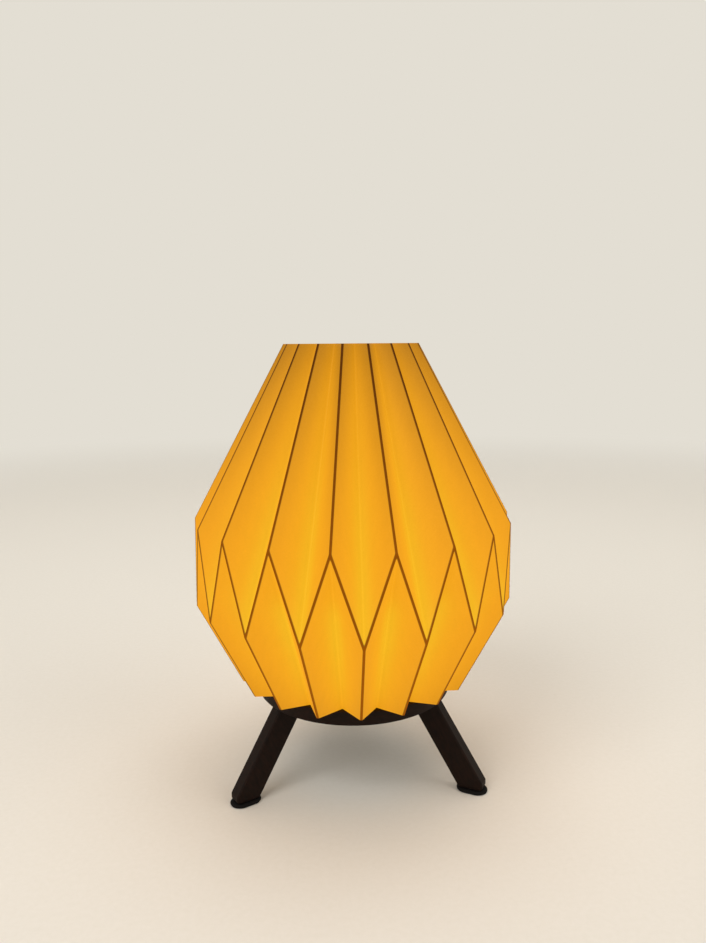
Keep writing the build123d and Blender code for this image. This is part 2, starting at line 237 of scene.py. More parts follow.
# ---------------------------------------------------------------- Finishes
@dataclass(frozen=True)
class Finish:
    """A plain surface with the fine unevenness that its making leaves.

    Args:
        name: what the material is.
        colour: its main colour, as hex.
        second: the colour that it drifts to, as hex.
        roughness: middle value of the roughness.
        metallic: one for bare metal.
        grit_mm: size of the fine unevenness.
        bump_mm: height of the fine unevenness.
        stretch: how much the pattern is drawn out along X, Y and Z.
        turn: angle of the pattern about Z, in degrees.
        tilt: angle of the pattern from upright, in degrees.
        ior: index of refraction of a bare dielectric.
        sheen: specular level of a bare dielectric, 0.5 for a clean surface.
        drift_span: values of the pattern at which the colour's drift begins and ends.
        gloss_swing: how far the roughness goes to either side of its middle.
        bump_strength: how strongly the bump shows.
    """

    name: str
    colour: str
    second: str
    roughness: float
    metallic: float = 0.0
    grit_mm: float = 0.6
    bump_mm: float = 0.01
    stretch: tuple[float, float, float] = (1.0, 1.0, 1.0)
    turn: float = 0.0
    tilt: float = 0.0
    ior: float = 1.5
    sheen: float = 0.5
    drift_span: tuple[float, float] = (0.3, 0.72)
    gloss_swing: float = 0.06
    bump_strength: float = 0.6

    def material(self) -> bpy.types.Material:
        """Builds the material.

        Returns:
            A procedural material on object coordinates.
        """
        made, shader, place = new_material(self.name)
        tree = made.node_tree
        turned = add_node(tree, "Mapping", {
            "Vector": place, "Rotation": (0.0, radians(self.tilt), radians(-self.turn)),
        })
        drawn = add_node(tree, "Mapping", {
            "Vector": turned.outputs["Vector"], "Scale": tuple(1 / share for share in self.stretch),
        })
        grain = add_node(tree, "TexNoise", {
            "Vector": drawn.outputs["Vector"],
            "Scale": 1 / (self.grit_mm * MM), "Detail": 5.0, "Roughness": 0.6,
        }).outputs["Fac"]
        tone = add_node(tree, "ValToRGB", {"Fac": grain})
        set_ramp(tone, self.drift_span, (self.colour, self.second))
        gloss = add_node(tree, "MapRange", {
            "Value": grain,
            "To Min": self.roughness - self.gloss_swing, "To Max": self.roughness + self.gloss_swing,
        })
        bump = add_node(tree, "Bump", {
            "Height": grain, "Strength": self.bump_strength, "Distance": self.bump_mm * MM,
        })
        feed(tree, shader, {
            "Base Color": tone.outputs["Color"], "Roughness": gloss.outputs["Result"],
            "Normal": bump.outputs["Normal"], "Metallic": self.metallic,
        })
        if not self.metallic:
            feed(tree, shader, {"IOR": self.ior, "Specular IOR Level": self.sheen})
        return made


class Mark(Enum):
    """What the shade's mesh tells its paper at every face corner."""

    MAIN_FOLD = "main_fold_mm"
    ZIGZAG = "zigzag_mm"
    VALLEY = "valley_mm"
    LOWER_PANEL = "lower_panel"
    INNER_WALL = "inner_wall"


@dataclass(frozen=True)
class LitLaminatedPaper:
    """Stiff laminated paper with a lit lamp behind it.

    Light comes evenly through the flat panels, amber beside the outward folds and yellower in a
    streak along the inward ones, where the wall comes nearest to the lamp. It fades towards the
    top rim, most of all beside the folds. An inward fold shows as a soft, lighter crease, a painted
    highlight, with slightly darker sides of painted shade. Faint strands run up the paper, and the
    inner wall, which the lamp lights straight on, is paler. The fibres are drawn coarse enough to show.

    A streak's core is its strong middle. A reach or a side is how far something goes from the
    line of its fold, and the dark beside a pressed fold begins at the edge of its flat. Shares,
    highlights, shades, darks and swings are parts of the full light. Each curve gives its value
    by height.
    """

    name: str = "lit_laminated_paper"
    amber: str = "#f5a518"
    yellow: str = "#f5bb20"
    inside: str = "#ffcb5c"
    unlit: str = "#58380b"
    unlit_light: str = "#5e3d0e"
    drift_span: tuple[float, float] = (0.25, 0.8)
    streak_reach_mm: float = 18.0
    streak_core_mm: float = 9.0
    streak_core_share: float = 0.5
    # A soft painted highlight along an inward fold, with painted shade at its sides.
    crease_half_width_mm: float = 1.5
    crease_highlight: float = 0.045
    crease_side_mm: float = 3.2
    crease_side_shade: float = 0.02
    strand_mm: float = 2.6
    strand_draw: float = 22.0
    strand_swing: float = 0.035
    fold_reach_mm: float = 13.0
    fold_flat_mm: float = 0.98
    fold_edge_mm: float = 1.5
    fold_edge_dark: float = 0.75
    fibre_mm: float = 0.9
    fibre_swing: float = 0.05
    fibre_bump_mm: float = 0.02
    fibre_bump_strength: float = 0.35
    roughness: float = 0.62
    sheen: float = 0.12
    glow_strength: float = 0.9
    level: Curve = (
        (RIM, 0.93), (72.0, 0.985), (112.0, 1.0), (165.0, 0.98), (190.0, 0.955), (225.0, 0.865),
        (TOP, 0.725),
    )
    streak_on_upper: Curve = (
        (RIM, 1.0), (125.0, 1.0), (147.0, 0.9), (165.0, 0.75), (190.0, 0.42), (215.0, 0.22), (TOP, 0.03)
    )
    streak_on_lower: Curve = (
        (RIM, 0.08), (75.0, 0.55), (92.0, 0.85), (108.0, 1.0), (125.0, 0.5), (138.0, 0.15), (TOP, 0.0)
    )
    fold_shade: Curve = (
        (RIM, 0.13), (75.0, 0.09), (105.0, 0.05), (145.0, 0.05), (165.0, 0.09), (190.0, 0.17),
        (225.0, 0.26), (TOP, 0.34),
    )

    def fade(
        self, tree: Tree, gap: Socket, reach: float, peak: float = 1.0, start: float = 0.0
    ) -> Socket:
        """A value that falls softly from its peak at a fold to nothing.

        Args:
            tree: the material's node tree.
            gap: the output with the distance from the fold, in millimetres.
            reach: where it has fallen to nothing, in millimetres.
            peak: its value at the fold.
            start: where it begins to fall, in millimetres.

        Returns:
            The output with the value.
        """
        made = add_node(tree, "MapRange", {
            "Value": gap, "From Min": reach, "From Max": start, "To Max": peak,
        }, interpolation_type="SMOOTHSTEP")
        return made.outputs["Result"]

    def light_colour(self, tree: Tree, marks: Mapping[Mark, Socket], height: Socket) -> Socket:
        """The colour of the light: amber panels with yellow streaks, and a paler inner wall.

        Args:
            tree: the material's node tree.
            marks: the outputs with what the mesh tells.
            height: the output with the height, in metres.

        Returns:
            The output with the colour.
        """
        streak_level = add_node(tree, "Mix", {
            MIX_SHARE: marks[Mark.LOWER_PANEL],
            NUMBER_A: height_curve(tree, height, self.streak_on_upper),
            NUMBER_B: height_curve(tree, height, self.streak_on_lower),
        }, data_type="FLOAT")
        valley = marks[Mark.VALLEY]
        wide = self.fade(tree, valley, self.streak_reach_mm, 1.0 - self.streak_core_share)
        core = self.fade(tree, valley, self.streak_core_mm, self.streak_core_share)
        both = add_node(tree, "Math", {0: wide, 1: core}, operation="ADD")
        streak = product(tree, (both.outputs["Value"], streak_level.outputs[NUMBER_OUT]))
        panel = add_node(tree, "Mix", {
            MIX_SHARE: streak, COLOUR_A: linear(self.amber), COLOUR_B: linear(self.yellow),
        }, data_type="RGBA")
        walled = add_node(tree, "Mix", {
            MIX_SHARE: marks[Mark.INNER_WALL],
            COLOUR_A: panel.outputs[COLOUR_OUT],
            COLOUR_B: linear(self.inside),
        }, data_type="RGBA")
        return walled.outputs[COLOUR_OUT]

    def crease(self, tree: Tree, valley: Socket) -> Socket:
        """A factor: a painted highlight above one on an inward fold, painted shade just below one
        beside it.

        Args:
            tree: the material's node tree.
            valley: the output with the distance from the inward fold, in millimetres.

        Returns:
            The output with the factor.
        """
        half_width, side_shade = self.crease_half_width_mm, self.crease_side_shade
        # The middle is the painted highlight and the sides are the painted shade.
        middle = self.fade(tree, valley, half_width, self.crease_highlight + side_shade)
        sides = self.fade(tree, valley, self.crease_side_mm, side_shade, half_width)
        raised = add_node(tree, "Math", {0: middle, 1: sides}, operation="SUBTRACT").outputs["Value"]
        made = add_node(tree, "Math", {0: 1.0, 1: raised}, operation="ADD")
        return made.outputs["Value"]

    def light_level(
        self, tree: Tree, marks: Mapping[Mark, Socket], place: Socket, height: Socket, fibre: Socket
    ) -> Socket:
        """How much light comes through: by height, folds, creases, strands and fibres.

        Args:
            tree: the material's node tree.
            marks: the outputs with what the mesh tells.
            place: the output with the object coordinates.
            height: the output with the height, in metres.
            fibre: the output with the fibre pattern.

        Returns:
            The output with the level.
        """
        drawn = add_node(tree, "Mapping", {"Vector": place, "Scale": (1.0, 1.0, 1 / self.strand_draw)})
        strand = add_node(tree, "TexNoise", {
            "Vector": drawn.outputs["Vector"], "Scale": 1 / (self.strand_mm * MM), "Detail": 3.0,
        })
        main_fold, zigzag = marks[Mark.MAIN_FOLD], marks[Mark.ZIGZAG]
        edge = (self.fold_edge_mm, self.fold_edge_dark, self.fold_flat_mm)
        darks = (
            product(tree, (
                self.fade(tree, main_fold, self.fold_reach_mm),
                height_curve(tree, height, self.fold_shade),
            )),
            self.fade(tree, main_fold, *edge),
            self.fade(tree, zigzag, *edge),
        )
        factors = [
            height_curve(tree, height, self.level),
            unevenness(tree, fibre, self.fibre_swing),
            unevenness(tree, strand.outputs["Fac"], self.strand_swing),
            self.crease(tree, marks[Mark.VALLEY]),
        ]
        for dark in darks:
            left = add_node(tree, "Math", {0: 1.0, 1: dark}, operation="SUBTRACT")
            factors.append(left.outputs["Value"])
        return product(tree, factors)

    def material(self) -> bpy.types.Material:
        """Builds the material from the distances that the shade's mesh carries.

        Returns:
            The lit paper.
        """
        made, shader, place = new_material(self.name)
        tree = made.node_tree
        marks = {
            mark: add_node(tree, "Attribute", attribute_name=mark.value).outputs["Fac"] for mark in Mark
        }
        axes = add_node(tree, "SeparateXYZ", {"Vector": place})
        height = axes.outputs["Z"]
        fibre = add_node(tree, "TexNoise", {
            "Vector": place, "Scale": 1 / (self.fibre_mm * MM), "Detail": 6.0, "Roughness": 0.65,
        }).outputs["Fac"]
        lit = add_node(tree, "Mix", {
            MIX_SHARE: 1.0,
            COLOUR_A: self.light_colour(tree, marks, height),
            COLOUR_B: self.light_level(tree, marks, place, height, fibre),
        }, data_type="RGBA", blend_type="MULTIPLY")
        face = add_node(tree, "ValToRGB", {"Fac": fibre})
        set_ramp(face, self.drift_span, (self.unlit, self.unlit_light))
        bump = add_node(tree, "Bump", {
            "Height": fibre, "Strength": self.fibre_bump_strength, "Distance": self.fibre_bump_mm * MM,
        })
        feed(tree, shader, {
            "Base Color": face.outputs["Color"], "Emission Color": lit.outputs[COLOUR_OUT],
            "Normal": bump.outputs["Normal"], "Emission Strength": self.glow_strength,
            "Roughness": self.roughness, "Specular IOR Level": self.sheen,
        })
        return made


@dataclass(frozen=True)
class ScoredFold:
    """The outside of a scored fold: the paper lies double there and stands edge-on to the lamp.

    Hardly any light comes through it, so it reads as a thin brown line, darkest near the top. Its
    fields mean what those of the lit paper mean, and the wear is a faint unevenness along it.
    """

    name: str = "scored_paper_fold"
    colour: str = "#8c4a00"
    unlit: str = "#1c0c02"
    unlit_light: str = "#2a1404"
    drift_span: tuple[float, float] = (0.3, 0.75)
    wear_mm: float = 3.5
    wear_swing: float = 0.15
    roughness: float = 0.8
    sheen: float = 0.05
    glow_strength: float = 0.9
    level: Curve = (
        (RIM, 1.25), (100.0, 1.3), (116.0, 1.14), (150.0, 1.1), (167.0, 0.96), (200.0, 0.7),
        (225.0, 0.5), (TOP, 0.34),
    )

    def material(self) -> bpy.types.Material:
        """Builds the material.

        Returns:
            The fold's brown, with a faint unevenness along it.
        """
        made, shader, place = new_material(self.name)
        tree = made.node_tree
        axes = add_node(tree, "SeparateXYZ", {"Vector": place})
        wear = add_node(tree, "TexNoise", {
            "Vector": place, "Scale": 1 / (self.wear_mm * MM), "Detail": 4.0, "Roughness": 0.6,
        }).outputs["Fac"]
        level = product(tree, (
            height_curve(tree, axes.outputs["Z"], self.level), unevenness(tree, wear, self.wear_swing)
        ))
        lit = add_node(tree, "Mix", {
            MIX_SHARE: 1.0, COLOUR_A: linear(self.colour), COLOUR_B: level,
        }, data_type="RGBA", blend_type="MULTIPLY")
        face = add_node(tree, "ValToRGB", {"Fac": wear})
        set_ramp(face, self.drift_span, (self.unlit, self.unlit_light))
        feed(tree, shader, {
            "Base Color": face.outputs["Color"], "Emission Color": lit.outputs[COLOUR_OUT],
            "Emission Strength": self.glow_strength, "Roughness": self.roughness,
            "Specular IOR Level": self.sheen,
        })
        return made


@dataclass(frozen=True)
class LitOpalGlobe:
    """Opal polycarbonate over a small lit board: nearly white on top, warmer down at its neck.

    The neck's colour turns to the globe's over the neck's share of the globe's height.
    """

    name: str = "lit_opal_polycarbonate"
    lit: str = "#ffe9bf"
    neck: str = "#ffc877"
    neck_share: float = 0.35
    face: str = "#6b6253"
    face_light: str = "#746a59"
    drift_span: tuple[float, float] = (0.3, 0.7)
    grit_mm: float = 1.5
    roughness: float = 0.36
    ior: float = 1.58
    sheen: float = 0.3
    glow_strength: float = 0.86

    def material(self) -> bpy.types.Material:
        """Builds the material for the lamp's globe, at the height that the CAD gives it.

        Returns:
            The lit opal plastic.
        """
        low, high = (end[2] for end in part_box("bulb_globe"))
        made, shader, place = new_material(self.name)
        tree = made.node_tree
        axes = add_node(tree, "SeparateXYZ", {"Vector": place})
        rise = add_node(tree, "MapRange", {
            "Value": axes.outputs["Z"],
            "From Min": low, "From Max": low + self.neck_share * (high - low),
        }, interpolation_type="SMOOTHSTEP")
        glow = add_node(tree, "Mix", {
            MIX_SHARE: rise.outputs["Result"], COLOUR_A: linear(self.neck), COLOUR_B: linear(self.lit),
        }, data_type="RGBA")
        cloud = add_node(tree, "TexNoise", {
            "Vector": place, "Scale": 1 / (self.grit_mm * MM), "Detail": 3.0,
        })
        face = add_node(tree, "ValToRGB", {"Fac": cloud.outputs["Fac"]})
        set_ramp(face, self.drift_span, (self.face, self.face_light))
        feed(tree, shader, {
            "Base Color": face.outputs["Color"], "Emission Color": glow.outputs[COLOUR_OUT],
            "Emission Strength": self.glow_strength, "Roughness": self.roughness, "IOR": self.ior,
            "Specular IOR Level": self.sheen,
        })
        return made


# ---------------------------------------------------------------- The shade
class Corner(Enum):
    """The zig-zag's two kinds of corner, which take turns at every half pleat."""

    UPPER = 0
    LOWER = 1


@dataclass
class PleatedShade:
    """The folded paper shade: flat panels, outward folds and a zig-zag round the belly.

    Its outward folds are first built as sharp crests, which stand out further than the folds do,
    and then pressed to narrow flats. The zig-zag's and the inward folds' flats are shares of a
    main fold's. Lengths are in millimetres: radii are from the axis to the outward folds, and
    heights above the ground. The turn is an upper outward fold's angle from +X, in degrees.
    Heights that differ by less than same_height are the same. A face is on the inner wall if its
    normal leans to the axis by more than inward_lean, and fold_slot is the flats' material slot.
    """

    pleat_count: int = 18
    belly_radius: float = 90.0
    top_fold_radius: float = 38.0
    bottom_fold_radius: float = 65.5
    rim_height: float = RIM
    lower_corner_height: float = 106.1
    upper_corner_height: float = 153.3
    top_height: float = TOP
    turn: float = -1.5
    paper_thickness: float = 0.8
    fold_stand_out: float = 0.7
    fold_width: float = 1.1
    zigzag_share: float = 0.95
    valley_share: float = 0.35
    same_height: float = 0.01
    inward_lean: float = 0.1
    fold_slot: int = 1

    @property
    def half_angle(self) -> float:
        """The angle from an outward fold to the next corner, in degrees."""
        return 180.0 / self.pleat_count

    def crest(self, fold_radius: float) -> float:
        """The radius of the sharp crest that a fold at this radius is pressed from."""
        return fold_radius + self.fold_stand_out

    def spot(self, radius: float, angle: float, height: float) -> Vector:
        """A point of one half pleat, in millimetres."""
        return Vector((radius * cos(radians(angle)), radius * sin(radians(angle)), height))

    def corner_at(self, point: Vector) -> Corner:
        """The kind of corner that is at a point's angle."""
        return Corner(round(degrees(atan2(point.y, point.x)) / self.half_angle) % 2)

    def folded(self, point: Vector) -> Vector:
        """Finds a point's place in the one half pleat that stands for them all.

        Args:
            point: a point of the shade, in metres.

        Returns:
            Its place there, in millimetres.
        """
        angle = degrees(atan2(point.y, point.x)) % (2 * self.half_angle)
        from_fold = min(angle, 2 * self.half_angle - angle)
        return self.spot(hypot(point.x, point.y) / MM, from_fold, point.z / MM)

    def upper_points(self) -> tuple[Vector, Vector, Vector]:
        """Finds three corners of an upper panel.

        Returns:
            The fold's end at the top rim, the upper corner and the lower corner.
        """
        return (
            self.spot(self.crest(self.top_fold_radius), 0, self.top_height),
            self.spot(self.crest(self.belly_radius), 0, self.upper_corner_height),
            self.spot(self.crest(self.belly_radius), self.half_angle, self.lower_corner_height),
        )

    def lower_points(self) -> tuple[Vector, Vector, Vector]:
        """Finds three corners of a lower panel.

        Returns:
            The fold's end at the bottom rim, the lower corner and the upper corner.
        """
        return (
            self.spot(self.crest(self.bottom_fold_radius), self.half_angle, self.rim_height),
            self.spot(self.crest(self.belly_radius), self.half_angle, self.lower_corner_height),
            self.spot(self.crest(self.belly_radius), 0, self.upper_corner_height),
        )

    def inward_radius(self, points: Sequence[Vector], angle: float, height: float) -> float:
        """Finds where a panel's plane meets the upright plane of an inward fold.

        Args:
            points: three corners of the panel.
            angle: the inward fold's angle, in degrees.
            height: the height that is asked for, in millimetres.

        Returns:
            The radius there, in millimetres.
        """
        first, second, third = points
        normal = (second - first).cross(third - first)
        along = normal.x * cos(radians(angle)) + normal.y * sin(radians(angle))
        return (normal.dot(first) - normal.z * height) / along

    def move_ring(
        self, piece: bpy.types.Object, level: float, corner: Corner, radius: float, height: float
    ) -> None:
        """Moves every second point of one ring to its radius and height.

        Args:
            piece: the tube, in edit mode.
            level: the ring's present height, in metres.
            corner: the kind of corner at whose angles the points are.
            radius: the new radius, in millimetres.
            height: the new height, in millimetres.
        """
        pick(
            piece,
            Pick.POINTS,
            lambda point: abs(point.co.z - level) < self.same_height * MM
            and self.corner_at(point.co) is corner,
        )
        share = radius / self.crest(self.belly_radius)
        bpy.ops.transform.resize(value=(share, share, 1.0), center_override=(0.0, 0.0, level))
        bpy.ops.transform.translate(value=(0.0, 0.0, height * MM - level))

    def fold(self) -> bpy.types.Object:
        """Folds a tube with one ring of points between its rims into sharp pleats.

        Returns:
            The folded sheet, still without a thickness.
        """
        middle = (self.rim_height + self.top_height) / 2 * MM
        depth = (self.top_height - self.rim_height) * MM
        bpy.ops.object.select_all(action="DESELECT")
        bpy.ops.mesh.primitive_cylinder_add(
            vertices=2 * self.pleat_count,
            radius=self.crest(self.belly_radius) * MM,
            depth=depth,
            end_fill_type="NOTHING",
            location=(0.0, 0.0, middle),
        )
        piece = bpy.context.active_object
        piece.name = "shade_folded_paper"
        bpy.ops.object.transform_apply(location=True, rotation=True, scale=True)
        bpy.ops.object.mode_set(mode="EDIT")
        pick(piece, Pick.EDGES, lambda edge: climb(edge) > depth / 2)
        bpy.ops.mesh.subdivide(number_cuts=1)
        rim, top = middle - depth / 2, middle + depth / 2
        top_valley = self.inward_radius(self.upper_points(), self.half_angle, self.top_height)
        rim_valley = self.inward_radius(self.lower_points(), 0, self.rim_height)
        moves = (
            (top, Corner.UPPER, self.crest(self.top_fold_radius), self.top_height),
            (top, Corner.LOWER, top_valley, self.top_height),
            (middle, Corner.UPPER, self.crest(self.belly_radius), self.upper_corner_height),
            (middle, Corner.LOWER, self.crest(self.belly_radius), self.lower_corner_height),
            (rim, Corner.UPPER, rim_valley, self.rim_height),
            (rim, Corner.LOWER, self.crest(self.bottom_fold_radius), self.rim_height),
        )
        for level, corner, radius, height in moves:
            self.move_ring(piece, level, corner, radius, height)
        bpy.ops.mesh.select_all(action="SELECT")
        bpy.ops.mesh.normals_make_consistent(inside=False)
        bpy.ops.object.mode_set(mode="OBJECT")
        return piece

    def weigh_folds(self, piece: bpy.types.Object) -> None:
        """Says how wide each fold is pressed flat: a share of the full width for every edge.

        Args:
            piece: the folded sheet, still without a thickness.
        """
        data = piece.data
        corners = (self.upper_corner_height, self.lower_corner_height)
        shares = []
        for edge in data.edges:
            ends = [data.vertices[index].co for index in edge.vertices]
            at_corner = [
                any(abs(end.z / MM - height) < self.same_height for height in corners) for end in ends
            ]
            top_end = max(end.z for end in ends) / MM
            is_above = top_end > self.upper_corner_height + self.same_height
            if all(at_corner):
                shares.append(self.zigzag_share)
            elif any(at_corner):
                is_main = (self.corner_at(ends[0]) is Corner.UPPER) == is_above
                shares.append(1.0 if is_main else self.valley_share)
            else:
                shares.append(0.0)
        weights = data.attributes.new("bevel_weight_edge", "FLOAT", "EDGE")
        weights.data.foreach_set("value", shares)

    def build(self) -> bpy.types.Object:
        """Folds the sheet, presses its folds flat and gives it its thickness.

        Returns:
            The shade as one walled piece at the origin.
        """
        piece = self.fold()
        self.weigh_folds(piece)
        press = piece.modifiers.new("pressed_folds", "BEVEL")
        press.limit_method = "WEIGHT"
        press.offset_type = "WIDTH"
        press.width = self.fold_width * MM
        press.segments = 1
        bpy.ops.object.modifier_apply(modifier=press.name)
        wall = piece.modifiers.new("wall", "SOLIDIFY")
        wall.thickness = self.paper_thickness * MM
        wall.offset = -1.0
        wall.use_even_offset = True
        bpy.ops.object.modifier_apply(modifier=wall.name)
        self.mark_paper(piece)
        piece.data.transform(Matrix.Rotation(radians(self.turn), 4, "Z"))
        return piece

    def fold_lines(self) -> dict[Corner, dict[Mark, tuple[Vector, Vector]]]:
        """Finds the folds that bound one upper and one lower panel.

        Returns:
            The two ends of each fold, in millimetres, for the panels above and below the zig-zag.
        """
        half, rim, top = self.half_angle, self.rim_height, self.top_height
        upper, lower = self.upper_points(), self.lower_points()
        top_end, upper_corner, lower_corner = upper
        valley_top = self.spot(self.inward_radius(upper, half, top), half, top)
        valley_foot = self.spot(self.inward_radius(lower, 0, rim), 0, rim)
        return {
            Corner.UPPER: {
                Mark.MAIN_FOLD: (top_end, upper_corner),
                Mark.ZIGZAG: (upper_corner, lower_corner),
                Mark.VALLEY: (valley_top, lower_corner),
            },
            Corner.LOWER: {
                Mark.MAIN_FOLD: (lower[0], lower_corner),
                Mark.ZIGZAG: (upper_corner, lower_corner),
                Mark.VALLEY: (valley_foot, upper_corner),
            },
        }

    def mark_paper(self, piece: bpy.types.Object) -> None:
        """Writes each face corner's distance from the folds of its own panel, in millimetres.

        The lower panels and the faces that look inwards are marked, and the narrow flats along
        the outward folds get a material of their own.

        Args:
            piece: the walled shade, before it is turned.
        """
        data = piece.data
        rows = {mark: [0.0] * len(data.loops) for mark in Mark}
        lines = self.fold_lines()
        drop = (self.upper_corner_height - self.lower_corner_height) / self.half_angle
        for face in data.polygons:
            middle = self.folded(face.center)
            zigzag_height = self.upper_corner_height - drop * degrees(atan2(middle.y, middle.x))
            side = Corner.UPPER if middle.z > zigzag_height else Corner.LOWER
            outwards = face.normal.xy.dot(face.center.xy)
            looks_in = outwards < -self.inward_lean * face.center.xy.length
            for index in face.loop_indices:
                rows[Mark.LOWER_PANEL][index] = float(side is Corner.LOWER)
                rows[Mark.INNER_WALL][index] = float(looks_in)
                spot = self.folded(data.vertices[data.loops[index].vertex_index].co)
                for mark, (start, end) in lines[side].items():
                    along = (end - start).normalized()
                    away = spot - start
                    rows[mark][index] = (away - along * away.dot(along)).length
            outward_gaps = [
                min(rows[Mark.MAIN_FOLD][index], rows[Mark.ZIGZAG][index])
                for index in face.loop_indices
            ]
            if max(outward_gaps) < self.fold_width + self.fold_stand_out and not looks_in:
                face.material_index = self.fold_slot
        for mark, row in rows.items():
            data.attributes.new(mark.value, "FLOAT", "CORNER").data.foreach_set("value", row)

    def dress(self) -> None:
        """Makes the shade, gives it its paper and seats it on its body."""
        piece = self.build()
        piece.data.materials.append(LitLaminatedPaper().material())
        piece.data.materials.append(ScoredFold().material())
        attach(piece, "shade")
        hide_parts("paper_shade")
        log.info("%s: %d faces", piece.name, len(piece.data.polygons))


# ---------------------------------------------------------------- Finishes of the other pieces
# Beech bars and discs under a black water stain: close, straight grain that still shows
# as slightly browner streaks, with a dull open surface.
STAINED_BEECH = Finish(
    "black_stained_beech", "#0b0502", "#200f07", 0.6, grit_mm=1.4, bump_mm=0.03, sheen=0.12
)
# Moulded rubber of the foot pads: dull, even and a little dusty.
PAD_RUBBER = Finish("moulded_rubber_pad", "#070505", "#0f0c0a", 0.8, grit_mm=0.4, sheen=0.15)
# Zinc plate on mild steel: pale, slightly clouded.
ZINC = Finish("zinc_plated_steel", "#b8b8b2", "#9d9d98", 0.34, metallic=1.0, grit_mm=0.5)
# Injection moulded nylon: black with a soft gleam.
NYLON = Finish("moulded_black_nylon", "#101011", "#1b1b1c", 0.46, grit_mm=0.5, ior=1.53)
# Moulded phenolic of the lampholder: harder and smoother than nylon.
PHENOLIC = Finish("moulded_black_phenolic", "#141415", "#1e1e1f", 0.36, grit_mm=0.8, ior=1.6)
# Unglazed steatite: chalky white with a fine tooth.
STEATITE = Finish("unglazed_steatite", "#e2dfd6", "#d3cfc4", 0.7, grit_mm=0.3, bump_mm=0.015)
# Drawn brass of the contacts: warm yellow, bright, with hardly any grain.
BRASS = Finish("drawn_brass", "#d2ab5e", "#b98f45", 0.28, metallic=1.0, grit_mm=0.4)
# Rolled aluminium of the lamp's screw cap: bright, pale and a little worn.
CAP_METAL = Finish("rolled_aluminium_cap", "#c9c8c4", "#b1b0ac", 0.3, metallic=1.0, grit_mm=0.4)
# Pressed black glass between cap and tip: deep black and glossy.
VITRITE = Finish("pressed_black_glass", "#070709", "#0d0d10", 0.14, grit_mm=0.7, ior=1.52)
# Glossy white polycarbonate of the lamp's collar: clean, with soft highlights.
COLLAR = Finish("white_polycarbonate_collar", "#e6e3db", "#dcd8cf", 0.28, grit_mm=1.2, ior=1.58)
# White solder mask on an aluminium board: even white with a satin gleam.
BOARD = Finish("white_lamp_board", "#e8e7e1", "#dcdad2", 0.42, grit_mm=0.6)
# Opal polycarbonate with light behind it: even, warm and bright.
OPAL = LitOpalGlobe()
# Matt seamless paper of the studio: pale, warm and without gloss.
BACKDROP = Finish("seamless_backdrop_paper", "#e6e1d8", "#e3ded4", 0.85, grit_mm=3.0)


class Leg(Enum):
    """The three legs, with the angle that each points to, in degrees from +X."""

    REAR = 90.0
    FRONT_LEFT = 210.0
    FRONT_RIGHT = 330.0


# ---------------------------------------------------------------- The foot pads
@dataclass
class MouldedPads:
    """The rubber pads under the feet, with sides that bulge a little under the lamp's weight.

    The bulge is in millimetres, and their rims are rounded by a share of the pad's height.
    """

    bulge: float = 1.1
    round_share: float = 0.48
    rim_points: int = 40
    side_segments: int = 5
    smooth_angle: float = 40.0

    def build(self, leg: Leg) -> bpy.types.Object:
        """Stretches a round pad to the foot's length and rounds its sides.

        Args:
            leg: the leg that it goes under.

        Returns:
            The pad at the origin, with its place in its mesh.
        """
        low, high = (Vector(end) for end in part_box("foot_pad_rear"))
        width, reach, height = high - low
        bpy.ops.object.select_all(action="DESELECT")
        bpy.ops.mesh.primitive_cylinder_add(
            vertices=self.rim_points,
            radius=width / 2 + self.bulge * MM,
            depth=height,
            location=(0.0, 0.0, height / 2),
            rotation=(0.0, 0.0, radians(180.0 / self.rim_points)),
        )
        piece = bpy.context.active_object
        piece.name = f"bulging_pad_{leg.name.lower()}"
        bpy.ops.object.transform_apply(location=True, rotation=True, scale=True)
        bpy.ops.object.mode_set(mode="EDIT")
        for side in (-1.0, 1.0):
            pick(piece, Pick.POINTS, lambda point: point.co.x * side > 0.0)
            bpy.ops.transform.translate(value=(side * (reach - width) / 2, 0.0, 0.0))
        pick(piece, Pick.EDGES, lambda edge: climb(edge) < height / 2)
        bpy.ops.mesh.bevel(
            offset=self.round_share * height, segments=self.side_segments, affect="EDGES"
        )
        bpy.ops.object.mode_set(mode="OBJECT")
        bpy.ops.object.shade_smooth_by_angle(angle=radians(self.smooth_angle))
        out = Matrix.Translation(((low.y + high.y) / 2, 0.0, 0.0))
        piece.data.transform(Matrix.Rotation(radians(leg.value), 4, "Z") @ out)
        return piece

    def dress(self) -> None:
        """Makes the three pads, gives them their rubber and seats them on their body."""
        rubber = PAD_RUBBER.material()
        for leg in Leg:
            piece = self.build(leg)
            piece.data.materials.append(rubber)
            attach(piece, "base")
            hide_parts(f"foot_pad_{leg.name.lower()}")
            log.info("%s: %d faces", piece.name, len(piece.data.polygons))


